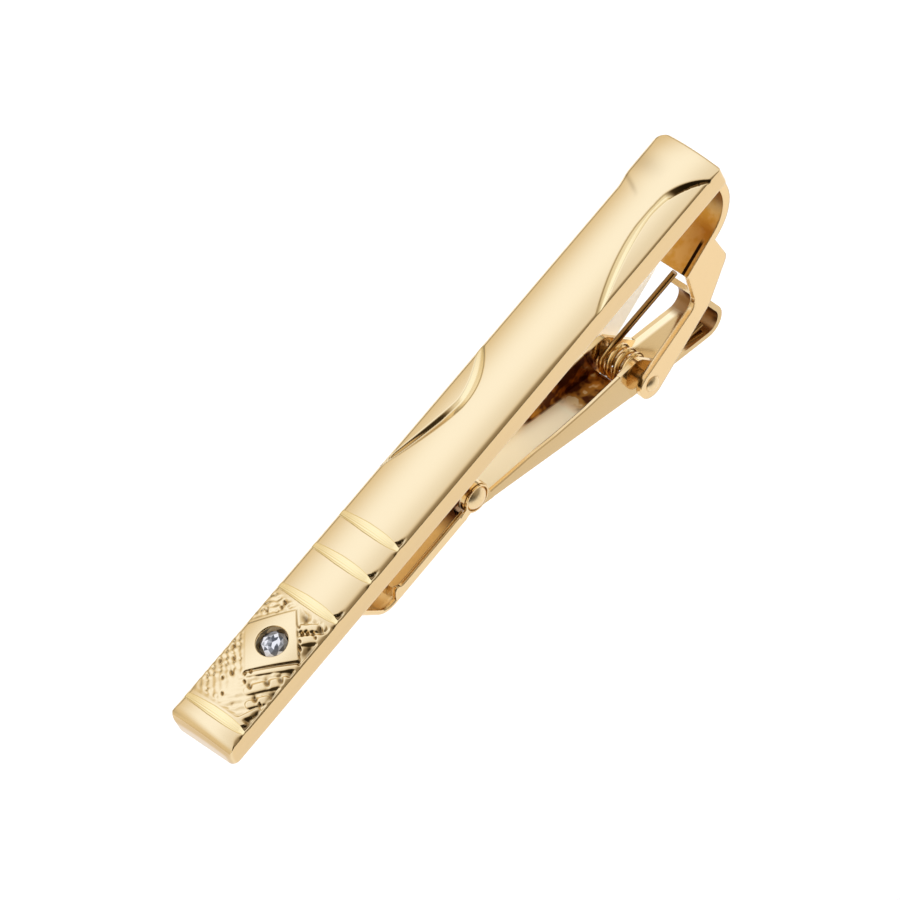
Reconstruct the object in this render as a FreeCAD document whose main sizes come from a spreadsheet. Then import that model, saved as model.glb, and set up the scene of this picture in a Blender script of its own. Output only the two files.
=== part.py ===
import FreeCAD
import Part
import Sketcher
import math
import os
from types import SimpleNamespace

# Tie clip. The origin is the middle of the front bar's back face, +X runs from the decorated end
# to the hinge end, +Z is the bar's front and the clip hangs behind it, toward -Z. Millimetres.

LENGTHS = {
    # Front bar: a solid bar with a low crown, measured along it from its decorated end
    "bar_length": 58.0,
    "bar_width": 6.2,
    "bar_side": 2.1,
    "bar_crown": 0.5,
    "bar_corner": 0.8,
    "end_groove": 2.02,
    "panel_groove": 12.87,
    "middle_groove": 16.82,
    "last_groove": 20.02,
    "far_curve_start": 24.6,
    "far_curve_end": 36.7,
    "far_curve_depth": 2.1,
    "near_curve_start": 43.1,
    "near_curve_end": 56.75,
    "near_curve_depth": 2.1,
    # Stone seat: a tapered mouth over a straight throat
    "seat_place": 8.87,
    "seat_mouth": 2.6,
    "seat_throat": 2.4,
    "seat_taper": 0.5,
    "seat_depth": 1.18,
    # Crystal
    "stone_clearance": 0.05,
    "stone_height": 0.95,
    # Hinge bracket: a strip standing on the bar's back, bent under it, with two ears folded down
    "strip_thickness": 0.75,
    "strip_width": 6.0,
    "strip_inset": 0.2,
    "strip_stand": 0.5,
    "strip_bend": 3.5,
    "base_slope": 19.4,
    "base_run": 3.9,
    "ear_thickness": 0.5,
    "ear_start": 0.3,
    "ear_round": 1.3,
    "ear_heel_inset": 2.88,
    "ear_heel_drop": 7.15,
    "ear_heel_round": 0.9,
    "ear_chin_inset": 6.1,
    "ear_chin_drop": 9.9,
    "ear_shelf_inset": 7.05,
    "ear_shelf_drop": 8.5,
    "ear_shelf_round": 1.2,
    # Hinge pin: its place from the bar's end and below the bar's back
    "hinge_inset": 13.35,
    "hinge_drop": 11.1,
    "hinge_pin_diameter": 1.0,
    "hinge_head_diameter": 1.4,
    "hinge_head_dome": 0.35,
    # Lever arm: a sheet channel, its places counted from the hinge pin
    "lever_width": 4.0,
    "lever_sheet": 0.45,
    "jaw_reach": 16.7,
    "jaw_rise": 7.65,
    "nose_round": 1.3,
    "nose_slot": 1.5,
    "elbow_ahead": 1.55,
    "elbow_below": 0.67,
    "curl_reach": 6.9,
    "curl_drop": 2.3,
    "curl_round": 1.5,
    "lip_lean": 14.3,
    "lip_run": 2.0,
    "spring_window": 3.0,
    # Torsion spring
    "spring_radius": 1.1,
    "spring_wire": 0.3,
    "spring_pitch": 0.96,
    "spring_seating": 0.02,
    # Jaw pin
    "jaw_pin_diameter": 1.0,
    "jaw_head_diameter": 2.1,
    "jaw_head_dome": 0.6,
    # Jaw: a low channel with an upturned toe, its places counted from the jaw pin
    "jaw_width": 4.4,
    "jaw_sheet": 0.5,
    "jaw_floor_drop": 1.0,
    "jaw_wall": 1.1,
    "jaw_rear": 1.5,
    "jaw_flat": 9.95,
    "toe_bend": 2.0,
    "toe_slope": 58.0,
    "toe_gap": 0.1,
    "knuckle_round": 0.95,
    "tooth_place": 9.45,
    "tooth_length": 0.7,
    "tooth_width": 2.4,
    "tooth_height": 1.2,
    # Fits
    "running_clearance": 0.05,
    "side_clearance": 0.1,
    "overrun": 0.4,
}

# Sides of the V cuts, as half width over depth
groove_side_share = 1.05
curve_side_share = 0.5

# Crystal: radius over the girdle's radius and height over the stone's height, from the culet to the table
stone_ring_shares = [(0.3, 0.0), (1.0, 0.5), (1.0, 0.6), (0.6, 1.0)]
stone_facets = 8

# Lever: wall tops from the thumb side to the nose, as shares of the reach and the rise from hinge to jaw pin
wall_top_shares = [(-0.04, 0.24), (-0.015, 0.287), (0.149, 0.375), (0.4, 0.556), (0.954, 0.919)]
wall_end_share = 0.5
nose_foot_shares = (-0.447, -0.894)
nose_lift_shares = (0.447, 0.894)
elbow_lift_shares = (0.404, 0.915)
curl_start_shares = (-0.3585, -0.9335)

# Spring: whole turns, where its legs bear, and how closely the path is sampled for its own gap
spring_turns = 2
lever_leg_share = 0.92
base_leg_share = 0.85
base_leg_side_share = -0.3
samples_per_turn = 120

# How near two computed corners are to count as one
same_place = 1e-5


class Size:
    """A number together with the sheet formula that drives it."""

    def __init__(self, number, formula):
        self.number = number
        self.formula = formula

    def __add__(self, other):
        other = as_size(other)
        return Size(self.number + other.number, f"({self.formula} + {other.formula})")

    def __radd__(self, other):
        return as_size(other) + self

    def __sub__(self, other):
        other = as_size(other)
        return Size(self.number - other.number, f"({self.formula} - {other.formula})")

    def __rsub__(self, other):
        return as_size(other) - self

    def __mul__(self, other):
        other = as_size(other)
        return Size(self.number * other.number, f"({self.formula} * {other.formula})")

    def __rmul__(self, other):
        return as_size(other) * self

    def __truediv__(self, other):
        other = as_size(other)
        return Size(self.number / other.number, f"({self.formula} / {other.formula})")

    def __neg__(self):
        return 0 - self


def as_size(value):
    return value if isinstance(value, Size) else Size(float(value), f"({float(value)!r})")


def sine(angle):
    return Size(math.sin(math.radians(angle.number)), f"sin({angle.formula})")


def cosine(angle):
    return Size(math.cos(math.radians(angle.number)), f"cos({angle.formula})")


doc = FreeCAD.newDocument("tie_clip")
sheet = doc.addObject("Spreadsheet::Sheet", "Sizes")
for row, (alias, number) in enumerate(LENGTHS.items(), 1):
    sheet.set(f"A{row}", alias)
    sheet.set(f"B{row}", str(number))
    sheet.setAlias(f"B{row}", alias)
doc.recompute()
dim = SimpleNamespace(**{alias: Size(float(sheet.get(alias)), f"Sizes.{alias}") for alias in LENGTHS})


def new_body(name):
    body = doc.addObject("PartDesign::Body", name)
    body.Label = name
    return body


def origin_plane(body, role):
    return [item for item in body.Origin.OriginFeatures if item.Role == role][0]


def sketch_on(body, name, role, shift=None):
    """A sketch on one of the body's origin planes, shifted along that plane's own axes."""
    sketch = body.newObject("Sketcher::SketchObject", name)
    sketch.AttachmentSupport = (origin_plane(body, role), [""])
    sketch.MapMode = "FlatFace"
    for axis, length in (shift or {}).items():
        sketch.setExpression(f".AttachmentOffset.Base.{axis}", length.formula)
    return sketch


def hold(sketch, kind, geometry, value):
    number = sketch.addConstraint(Sketcher.Constraint(kind, *geometry, value.number))
    sketch.setExpression(f"Constraints[{number}]", value.formula)


def hold_point(sketch, edge, end, place):
    """Holds one end of an edge at its two sizes, or on the axis where a size is nothing."""
    for kind, axis, value in (("DistanceX", -2, place[0]), ("DistanceY", -1, place[1])):
        if isinstance(value, Size):
            hold(sketch, kind, (-1, 1, edge, end), value)
        else:
            sketch.addConstraint(Sketcher.Constraint("PointOnObject", edge, end, axis))


def flat(place):
    return FreeCAD.Vector(as_size(place[0]).number, as_size(place[1]).number, 0)


def outline(sketch, corners):
    """A closed outline. A corner is a place, or a place with the centre, radius and turn of an arc after it."""
    places = [corner[0] if isinstance(corner[0], tuple) else corner for corner in corners]
    arcs = [corner[1:] if isinstance(corner[0], tuple) else None for corner in corners]
    starts = []
    for index, place in enumerate(places):
        first = flat(place)
        last = flat(places[(index + 1) % len(places)])
        if arcs[index] is None:
            sketch.addGeometry(Part.LineSegment(first, last))
            starts.append(1)
            continue
        centre, radius, turn = arcs[index]
        middle = flat(centre)
        ends = [math.atan2(point.y - middle.y, point.x - middle.x) for point in (first, last)]
        if turn < 0:
            ends.reverse()
        circle = Part.Circle(middle, FreeCAD.Vector(0, 0, 1), radius.number)
        sketch.addGeometry(Part.ArcOfCircle(circle, ends[0], ends[1]))
        starts.append(1 if turn > 0 else 2)
    for index, place in enumerate(places):
        before = index - 1 if index else len(places) - 1
        constraint = Sketcher.Constraint("Coincident", before, 3 - starts[before], index, starts[index])
        sketch.addConstraint(constraint)
        hold_point(sketch, index, starts[index], place)
        if arcs[index] is not None:
            hold(sketch, "Radius", (index,), arcs[index][1])
    return sketch


def disc(sketch, place, diameter):
    number = sketch.addGeometry(Part.Circle(flat(place), FreeCAD.Vector(0, 0, 1), diameter.number / 2))
    hold_point(sketch, number, 3, place)
    hold(sketch, "Diameter", (number,), diameter)
    return sketch


def pad(body, name, sketch, length, side="Symmetric"):
    feature = body.newObject("PartDesign::Pad", name)
    feature.Profile = sketch
    feature.SideType = side
    feature.setExpression("Length", length.formula)
    doc.recompute()
    return feature


def cut_made(body, feature, before):
    doc.recompute()
    if not body.Shape.Volume < before:
        raise RuntimeError(f"{feature.Name} cuts nothing")
    return feature


def pocket(body, name, sketch, length):
    before = body.Shape.Volume
    feature = body.newObject("PartDesign::Pocket", name)
    feature.Profile = sketch
    feature.SideType = "Symmetric"
    feature.setExpression("Length", length.formula)
    return cut_made(body, feature, before)


def turned_cut(body, name, sketch):
    before = body.Shape.Volume
    feature = body.newObject("PartDesign::Groove", name)
    feature.Profile = sketch
    feature.ReferenceAxis = (sketch, ["V_Axis"])
    feature.Angle = 360
    return cut_made(body, feature, before)


def round_edges(body, name, axes, places, radius):
    """Rounds the straight edges whose two ends both stand over one of the places."""
    base = body.Tip
    spots = [flat(place) for place in places]
    chosen = []
    for number, edge in enumerate(base.Shape.Edges, 1):
        ends = [FreeCAD.Vector(getattr(v.Point, axes[0]), getattr(v.Point, axes[1]), 0) for v in edge.Vertexes]
        if len(ends) == 2 and any(all(end.isEqual(spot, same_place) for end in ends) for spot in spots):
            chosen.append(f"Edge{number}")
    if len(chosen) < len(places):
        raise RuntimeError(f"{name} finds {len(chosen)} edges")
    feature = body.newObject("PartDesign::Fillet", name)
    feature.Base = (base, chosen)
    feature.setExpression("Radius", radius.formula)
    doc.recompute()
    return feature


# Front bar: the section runs the whole length, with its four standing corners rounded
bar_end = dim.bar_length / 2
bar_half = dim.bar_width / 2
bar_top = dim.bar_side + dim.bar_crown
crown_radius = (bar_half * bar_half + dim.bar_crown * dim.bar_crown) / (2 * dim.bar_crown)
crown_centre = (0, bar_top - crown_radius)
front_bar = new_body("front_bar")
bar_section = outline(sketch_on(front_bar, "bar_section", "YZ_Plane"), [
    (-bar_half, 0),
    (bar_half, 0),
    ((bar_half, dim.bar_side), crown_centre, crown_radius, 1),
    (-bar_half, dim.bar_side),
])
pad(front_bar, "bar_blank", bar_section, dim.bar_length)
bar_corners = [(end, side) for end in (-bar_end, bar_end) for side in (-bar_half, bar_half)]
round_edges(front_bar, "bar_corners", "xy", bar_corners, dim.bar_corner)

# Cross grooves: V cuts whose bottoms meet the edges of the crown
cut_top = bar_top + dim.overrun
groove_half = (cut_top - dim.bar_side) * groove_side_share
for name in ("end_groove", "panel_groove", "middle_groove", "last_groove"):
    place = getattr(dim, name) - bar_end
    groove_section = outline(sketch_on(front_bar, f"{name}_section", "XZ_Plane"), [
        (place, dim.bar_side),
        (place + groove_half, cut_top),
        (place - groove_half, cut_top),
    ])
    pocket(front_bar, name, groove_section, dim.bar_width + dim.overrun)

# Curved grooves: V cuts on arcs that leave and rejoin one edge of the bar
curve_half = (cut_top - dim.bar_side) * curve_side_share
for name, start, end, depth, side in (
    ("far_curve", dim.far_curve_start, dim.far_curve_end, dim.far_curve_depth, 1),
    ("near_curve", dim.near_curve_start, dim.near_curve_end, dim.near_curve_depth, -1),
):
    half_chord = (end - start) / 2
    curve_radius = (half_chord * half_chord + depth * depth) / (2 * depth)
    curve_shift = {"x": (start + end) / 2 - bar_end, "z": -side * (bar_half - depth + curve_radius)}
    curve_section = outline(sketch_on(front_bar, f"{name}_section", "XZ_Plane", curve_shift), [
        (curve_radius, dim.bar_side),
        (curve_radius + curve_half, cut_top),
        (curve_radius - curve_half, cut_top),
    ])
    turned_cut(front_bar, name, curve_section)

# Stone seat
seat_x = dim.seat_place - bar_end
seat_floor = bar_top - dim.seat_depth
seat_section = outline(sketch_on(front_bar, "seat_section", "XZ_Plane", {"x": seat_x}), [
    (0, seat_floor),
    (dim.seat_throat / 2, seat_floor),
    (dim.seat_throat / 2, bar_top - dim.seat_taper),
    (dim.seat_mouth / 2, bar_top),
    (dim.seat_mouth / 2, cut_top),
    (0, cut_top),
])
turned_cut(front_bar, "stone_seat", seat_section)

# Crystal: eight-sided rings from the flat culet to the table, standing on the seat's floor
crystal = new_body("crystal")
stone_radius = dim.seat_throat / 2 - dim.stone_clearance
stone_rings = []
for number, (radius_share, height_share) in enumerate(stone_ring_shares):
    ring_shift = {"x": seat_x, "z": seat_floor + height_share * dim.stone_height}
    ring = []
    for corner in range(stone_facets):
        turn = 2 * math.pi * (corner + 0.5) / stone_facets
        ring.append((
            radius_share * math.cos(turn) * stone_radius,
            radius_share * math.sin(turn) * stone_radius,
        ))
    stone_rings.append(outline(sketch_on(crystal, f"stone_ring_{number}", "XY_Plane", ring_shift), ring))
stone_cut = crystal.newObject("PartDesign::AdditiveLoft", "stone_cut")
stone_cut.Profile = stone_rings[0]
stone_cut.Sections = stone_rings[1:]
stone_cut.Ruled = True
doc.recompute()

# Hinge bracket: the strip's edge profile, from its end on the bar's back round the bend to the base's end
hinge_x = bar_end - dim.hinge_inset
hinge_z = -dim.hinge_drop
slope_sine = sine(dim.base_slope)
slope_cosine = cosine(dim.base_slope)
strip_back = bar_end - dim.strip_inset
bend_x = strip_back - dim.strip_thickness / 2 - dim.strip_bend
bend_z = -dim.strip_stand
bend_outer = dim.strip_bend + dim.strip_thickness / 2
bend_inner = dim.strip_bend - dim.strip_thickness / 2


def on_base(radius, run):
    """A place on the sloping base: radius sets the layer of the strip, run the way along it from the bend."""
    return (
        bend_x + radius * slope_sine - run * slope_cosine,
        bend_z - radius * slope_cosine - run * slope_sine,
    )


hinge_bracket = new_body("hinge_bracket")
strip_profile = outline(sketch_on(hinge_bracket, "strip_profile", "XZ_Plane"), [
    (strip_back, 0),
    (strip_back - dim.strip_thickness, 0),
    ((strip_back - dim.strip_thickness, bend_z), (bend_x, bend_z), bend_inner, -1),
    on_base(bend_inner, as_size(0)),
    on_base(bend_inner, dim.base_run),
    on_base(bend_outer, dim.base_run),
    (on_base(bend_outer, as_size(0)), (bend_x, bend_z), bend_outer, 1),
    (strip_back, bend_z),
])
pad(hinge_bracket, "strip", strip_profile, dim.strip_width)

# Ears: folded down from the base's long edges, with a round end about the hinge pin
ear_inside = dim.strip_width / 2 - dim.ear_thickness
ear_heel = (bar_end - dim.ear_heel_inset, -dim.ear_heel_drop)
ear_shelf = (bar_end - dim.ear_shelf_inset, -dim.ear_shelf_drop)
ear_plate = outline(sketch_on(hinge_bracket, "ear_plate", "XZ_Plane", {"z": ear_inside}), [
    on_base(dim.strip_bend, dim.ear_start),
    on_base(dim.strip_bend, dim.base_run),
    ear_shelf,
    (hinge_x - dim.ear_round * slope_sine, hinge_z + dim.ear_round * slope_cosine),
    (hinge_x + dim.ear_round * slope_sine, hinge_z - dim.ear_round * slope_cosine),
    (bar_end - dim.ear_chin_inset, -dim.ear_chin_drop),
    ear_heel,
])
near_plate = pad(hinge_bracket, "near_plate", ear_plate, dim.ear_thickness, "One side")
ear_eye = disc(
    sketch_on(hinge_bracket, "ear_eye", "XZ_Plane", {"z": ear_inside}), (hinge_x, hinge_z), 2 * dim.ear_round)
near_eye = pad(hinge_bracket, "near_eye", ear_eye, dim.ear_thickness, "One side")
far_ear = hinge_bracket.newObject("PartDesign::Mirrored", "far_ear")
far_ear.Originals = [near_plate, near_eye]
far_ear.MirrorPlane = (origin_plane(hinge_bracket, "XZ_Plane"), [""])
hinge_bracket.Tip = far_ear
doc.recompute()
round_edges(hinge_bracket, "ear_shelves", "xz", [ear_shelf], dim.ear_shelf_round)
round_edges(hinge_bracket, "ear_heels", "xz", [ear_heel], dim.ear_heel_round)
ear_bore = disc(sketch_on(hinge_bracket, "ear_bore", "XZ_Plane"), (hinge_x, hinge_z), dim.hinge_pin_diameter)
pocket(hinge_bracket, "ear_bores", ear_bore, dim.strip_width + dim.overrun)


def rivet(name, place, diameter, length, head, dome):
    """A pin along Y with a domed head at each end."""
    body = new_body(name)
    dome_radius = (head * head / 4 + dome * dome) / (2 * dome)
    half = length / 2
    section = outline(sketch_on(body, f"{name}_section", "YZ_Plane", {"y": place[1], "z": place[0]}), [
        (-half - dome, 0),
        ((half + dome, 0), (half + dome - dome_radius, 0), dome_radius, 1),
        (half, head / 2),
        (half, diameter / 2),
        (-half, diameter / 2),
        ((-half, head / 2), (dome_radius - half - dome, 0), dome_radius, 1),
    ])
    turned = body.newObject("PartDesign::Revolution", f"{name}_turned")
    turned.Profile = section
    turned.ReferenceAxis = (section, ["H_Axis"])
    turned.Angle = 360
    doc.recompute()
    return body


# Hinge pin: riveted over the outer faces of both ears
hinge_pin = rivet(
    "hinge_pin", (hinge_x, hinge_z), dim.hinge_pin_diameter, dim.strip_width,
    dim.hinge_head_diameter, dim.hinge_head_dome)

# Lever arm: the channel's side outline from the nose along the floor, round the thumb curl and back over the walls
jaw_x = hinge_x - dim.jaw_reach
jaw_z = hinge_z + dim.jaw_rise
elbow = (hinge_x - dim.elbow_ahead, hinge_z - dim.elbow_below)
curl = (hinge_x + dim.curl_reach, hinge_z - dim.curl_drop)
curl_inside = dim.curl_round - dim.lever_sheet
lip_across = (cosine(dim.lip_lean), sine(dim.lip_lean))


def shifted(place, shares, length):
    return (place[0] + shares[0] * length, place[1] + shares[1] * length)


def on_lip(radius, run):
    return (
        curl[0] + radius * lip_across[0] - run * lip_across[1],
        curl[1] + radius * lip_across[1] + run * lip_across[0],
    )


def between(first, last, share):
    return (first[0] + share * (last[0] - first[0]), first[1] + share * (last[1] - first[1]))


nose_foot = shifted((jaw_x, jaw_z), nose_foot_shares, dim.nose_round)
nose_floor = shifted(nose_foot, nose_lift_shares, dim.lever_sheet)
elbow_floor = shifted(elbow, elbow_lift_shares, dim.lever_sheet)
curl_floor = shifted(curl, curl_start_shares, curl_inside)
wall_end = between(elbow_floor, curl_floor, wall_end_share)
wall_tops = [
    (hinge_x - along * dim.jaw_reach, hinge_z + up * dim.jaw_rise) for along, up in wall_top_shares]
lever_inside = dim.lever_width - 2 * dim.lever_sheet
lever_arm = new_body("lever_arm")
lever_side = outline(sketch_on(lever_arm, "lever_side", "XZ_Plane"), [
    nose_foot,
    elbow,
    (shifted(curl, curl_start_shares, dim.curl_round), curl, dim.curl_round, 1),
    on_lip(dim.curl_round, as_size(0)),
    on_lip(dim.curl_round, dim.lip_run),
    on_lip(curl_inside, dim.lip_run),
    (on_lip(curl_inside, as_size(0)), curl, curl_inside, -1),
    curl_floor,
    wall_end,
] + wall_tops)
pad(lever_arm, "lever_blank", lever_side, dim.lever_width)
nose_eye = disc(sketch_on(lever_arm, "nose_eye", "XZ_Plane"), (jaw_x, jaw_z), 2 * dim.nose_round)
pad(lever_arm, "nose", nose_eye, dim.lever_width)

# The channel between the walls, the slot for the jaw's knuckle and the window that the coil turns in
nose_top = jaw_z + dim.nose_round + dim.overrun
channel_space = outline(sketch_on(lever_arm, "channel_space", "XZ_Plane"), [
    nose_floor,
    elbow_floor,
    wall_end,
    (wall_end[0], nose_top),
    (nose_floor[0], nose_top),
])
pocket(lever_arm, "channel", channel_space, lever_inside)
slot_front = jaw_x - dim.nose_round - dim.overrun
slot_foot = jaw_z - 2 * dim.nose_round
slot_space = outline(sketch_on(lever_arm, "slot_space", "XZ_Plane"), [
    (slot_front, slot_foot),
    (jaw_x + dim.nose_slot, slot_foot),
    (jaw_x + dim.nose_slot, nose_top),
    (slot_front, nose_top),
])
pocket(lever_arm, "knuckle_slot", slot_space, lever_inside)
window_foot = hinge_z - dim.spring_window
window_space = outline(sketch_on(lever_arm, "window_space", "XZ_Plane"), [
    (hinge_x - dim.spring_window / 2, window_foot),
    (hinge_x + dim.spring_window / 2, window_foot),
    (hinge_x + dim.spring_window / 2, hinge_z),
    (hinge_x - dim.spring_window / 2, hinge_z),
])
pocket(lever_arm, "coil_window", window_space, lever_inside)
hinge_bore_diameter = dim.hinge_pin_diameter + 2 * dim.running_clearance
hinge_bore = disc(sketch_on(lever_arm, "hinge_bore", "XZ_Plane"), (hinge_x, hinge_z), hinge_bore_diameter)
pocket(lever_arm, "hinge_bores", hinge_bore, dim.lever_width + dim.overrun)
nose_bore = disc(sketch_on(lever_arm, "nose_bore", "XZ_Plane"), (jaw_x, jaw_z), dim.jaw_pin_diameter)
pocket(lever_arm, "nose_bores", nose_bore, dim.lever_width + dim.overrun)

# Jaw pin: riveted over the nose's outer faces
jaw_pin = rivet(
    "jaw_pin", (jaw_x, jaw_z), dim.jaw_pin_diameter, dim.lever_width,
    dim.jaw_head_diameter, dim.jaw_head_dome)

# Jaw: the side outline along the floor, up the toe to just under the bar, and back along the low wall
toe_sine = sine(dim.toe_slope)
toe_cosine = cosine(dim.toe_slope)
jaw_foot = jaw_z - dim.jaw_floor_drop
jaw_top = jaw_foot + dim.jaw_wall
jaw_rear = jaw_x - dim.jaw_rear
toe = (jaw_x - dim.jaw_flat, jaw_foot + dim.toe_bend)
toe_inside = dim.toe_bend - dim.jaw_sheet
toe_run = (dim.toe_bend * toe_cosine - toe[1] - dim.toe_gap - dim.jaw_sheet * toe_cosine) / toe_sine


def on_toe(radius, run):
    return (
        toe[0] - radius * toe_sine - run * toe_cosine,
        toe[1] - radius * toe_cosine + run * toe_sine,
    )


jaw = new_body("jaw")
jaw_side = outline(sketch_on(jaw, "jaw_side", "XZ_Plane"), [
    (jaw_rear, jaw_top),
    (toe[0], jaw_top),
    on_toe(toe_inside, as_size(0)),
    on_toe(toe_inside, toe_run),
    on_toe(dim.toe_bend, toe_run),
    (on_toe(dim.toe_bend, as_size(0)), toe, dim.toe_bend, 1),
    (toe[0], jaw_foot),
    (jaw_rear, jaw_foot),
])
pad(jaw, "jaw_blank", jaw_side, dim.jaw_width)
jaw_floor = jaw_foot + dim.jaw_sheet
jaw_clear = jaw_top + dim.overrun
jaw_space = outline(sketch_on(jaw, "jaw_space", "XZ_Plane"), [
    (jaw_rear - dim.jaw_sheet, jaw_floor),
    (jaw_rear - dim.jaw_sheet, jaw_clear),
    (toe[0], jaw_clear),
    (on_toe(toe_inside, as_size(0)), toe, toe_inside, 1),
    (toe[0], jaw_floor),
])
pocket(jaw, "jaw_channel", jaw_space, dim.jaw_width - 2 * dim.jaw_sheet)

# The tooth on the floor, and the knuckle that fills the lever's nose
tooth_x = jaw_x - dim.tooth_place
tooth_side = outline(sketch_on(jaw, "tooth_side", "XZ_Plane"), [
    (tooth_x - dim.tooth_length / 2, jaw_foot + dim.jaw_sheet / 2),
    (tooth_x + dim.tooth_length / 2, jaw_foot + dim.jaw_sheet / 2),
    (tooth_x + dim.tooth_length / 2, jaw_floor),
    (tooth_x, jaw_floor + dim.tooth_height),
    (tooth_x - dim.tooth_length / 2, jaw_floor),
])
pad(jaw, "tooth", tooth_side, dim.tooth_width)
knuckle_width = lever_inside - 2 * dim.side_clearance
knuckle_arm = outline(sketch_on(jaw, "knuckle_arm", "XZ_Plane"), [
    (jaw_rear - dim.jaw_sheet / 2, jaw_z - dim.knuckle_round),
    (jaw_x, jaw_z - dim.knuckle_round),
    (jaw_x, jaw_z + dim.knuckle_round),
    (jaw_rear - dim.jaw_sheet / 2, jaw_top),
])
pad(jaw, "knuckle", knuckle_arm, knuckle_width)
knuckle_eye = disc(sketch_on(jaw, "knuckle_eye", "XZ_Plane"), (jaw_x, jaw_z), 2 * dim.knuckle_round)
pad(jaw, "knuckle_end", knuckle_eye, knuckle_width)
knuckle_bore_diameter = dim.jaw_pin_diameter + 2 * dim.running_clearance
knuckle_bore = disc(sketch_on(jaw, "knuckle_bore", "XZ_Plane"), (jaw_x, jaw_z), knuckle_bore_diameter)
pocket(jaw, "knuckle_bores", knuckle_bore, knuckle_width + dim.overrun)


# Torsion spring: one wire from under the bracket's base, round the hinge pin, to the lever's thumb end
def plain(place):
    return FreeCAD.Vector(place[0].number, 0, place[1].number)


wire_radius = dim.spring_wire.number / 2
coil_radius = dim.spring_radius.number
coil_centre = plain((hinge_x, hinge_z))
base_leg_run = base_leg_share * dim.base_run
base_leg_end = plain(on_base(bend_outer + dim.spring_wire / 2 + dim.running_clearance, base_leg_run))
lever_leg_end = plain(shifted(
    between(elbow_floor, curl_floor, lever_leg_share), curl_start_shares, dim.spring_seating - dim.spring_wire / 2))


def contact_turn(leg_end, side):
    """The turn round the coil at which a straight leg from leg_end meets it."""
    away = leg_end - coil_centre
    return math.atan2(away.z, away.x) + side * math.acos(coil_radius / away.Length)


coil_start = contact_turn(base_leg_end, -1)
coil_end = contact_turn(lever_leg_end, 1)
coil_sweep = (coil_start - coil_end) % (2 * math.pi) + 2 * math.pi * spring_turns
ease = math.pi / 4
rise_rate = dim.spring_pitch.number / (2 * math.pi)


def coil_rise(sweep):
    """The way along the pin, level at both ends."""
    if sweep < ease:
        return rise_rate * sweep * sweep / (2 * ease)
    if sweep > coil_sweep - ease:
        return rise_rate * (coil_sweep - ease) - coil_rise(coil_sweep - sweep)
    return rise_rate * (sweep - ease / 2)


def coil_place(sweep):
    turn = coil_start - sweep
    along = coil_rise(coil_sweep) / 2 - coil_rise(sweep)
    return coil_centre + FreeCAD.Vector(coil_radius * math.cos(turn), along, coil_radius * math.sin(turn))


def coil_heading(sweep):
    if sweep == 0:
        return (coil_place(0) - leg_start).normalize()
    turn = coil_start - sweep
    along = -rise_rate * min(1, sweep / ease, (coil_sweep - sweep) / ease)
    heading = FreeCAD.Vector(coil_radius * math.sin(turn), along, -coil_radius * math.cos(turn))
    return heading.normalize()


def arc_edge(first, knee, last):
    """The arc that leaves first toward the knee and reaches last from it."""
    bend = (knee - first).getAngle(last - knee)
    weight = math.cos(bend / 2)
    middle = (first + knee * (2 * weight) + last) / (2 + 2 * weight)
    return Part.Arc(first, middle, last).toShape()


def biarc(first, first_heading, last, last_heading):
    across = last - first
    together = first_heading + last_heading
    square = 2 * (1 - first_heading.dot(last_heading))
    linear = 2 * across.dot(together)
    reach = (-linear + math.sqrt(linear * linear + 4 * square * across.dot(across))) / (2 * square)
    first_knee = first + first_heading * reach
    last_knee = last - last_heading * reach
    middle = (first_knee + last_knee) / 2
    return [arc_edge(first, first_knee, middle), arc_edge(middle, last_knee, last)]


quarter_count = math.ceil(coil_sweep / (math.pi / 2))
stations = [coil_sweep * number / quarter_count for number in range(quarter_count + 1)]
leg_start = FreeCAD.Vector(base_leg_end.x, base_leg_side_share * coil_place(0).y, base_leg_end.z)
leg_finish = FreeCAD.Vector(lever_leg_end.x, coil_place(coil_sweep).y, lever_leg_end.z)
path = [Part.LineSegment(leg_start, coil_place(0)).toShape()]
for first, last in zip(stations, stations[1:]):
    path += biarc(coil_place(first), coil_heading(first), coil_place(last), coil_heading(last))
path.append(Part.LineSegment(coil_place(coil_sweep), leg_finish).toShape())
spring_path = Part.Wire(path)
wire_section = Part.Circle(leg_start, coil_place(0) - leg_start, wire_radius)
torsion_spring = doc.addObject("Part::Feature", "torsion_spring")
torsion_spring.Label = "torsion_spring"
torsion_spring.Shape = spring_path.makePipeShell([Part.Wire([wire_section.toShape()])], True, False)
torsion_spring.Placement = FreeCAD.Placement()

# The wire's least gap to itself, from points along its path more than a half turn apart
path_points = []
spacing = 2 * math.pi * coil_radius / samples_per_turn
for edge in path:
    path_points += edge.discretize(Number=max(2, math.ceil(edge.Length / spacing)))
apart = samples_per_turn // 2
least = min(
    path_points[first].distanceToPoint(path_points[last])
    for first in range(len(path_points)) for last in range(first + apart, len(path_points)))
spring_volume = math.pi * wire_radius * wire_radius * spring_path.Length
print(f"spring: least gap to itself {least - 2 * wire_radius:.3f} mm, sweep {coil_sweep / (2 * math.pi):.2f} turns")
print(f"spring: volume {torsion_spring.Shape.Volume:.4f}, section times length {spring_volume:.4f}")

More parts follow.
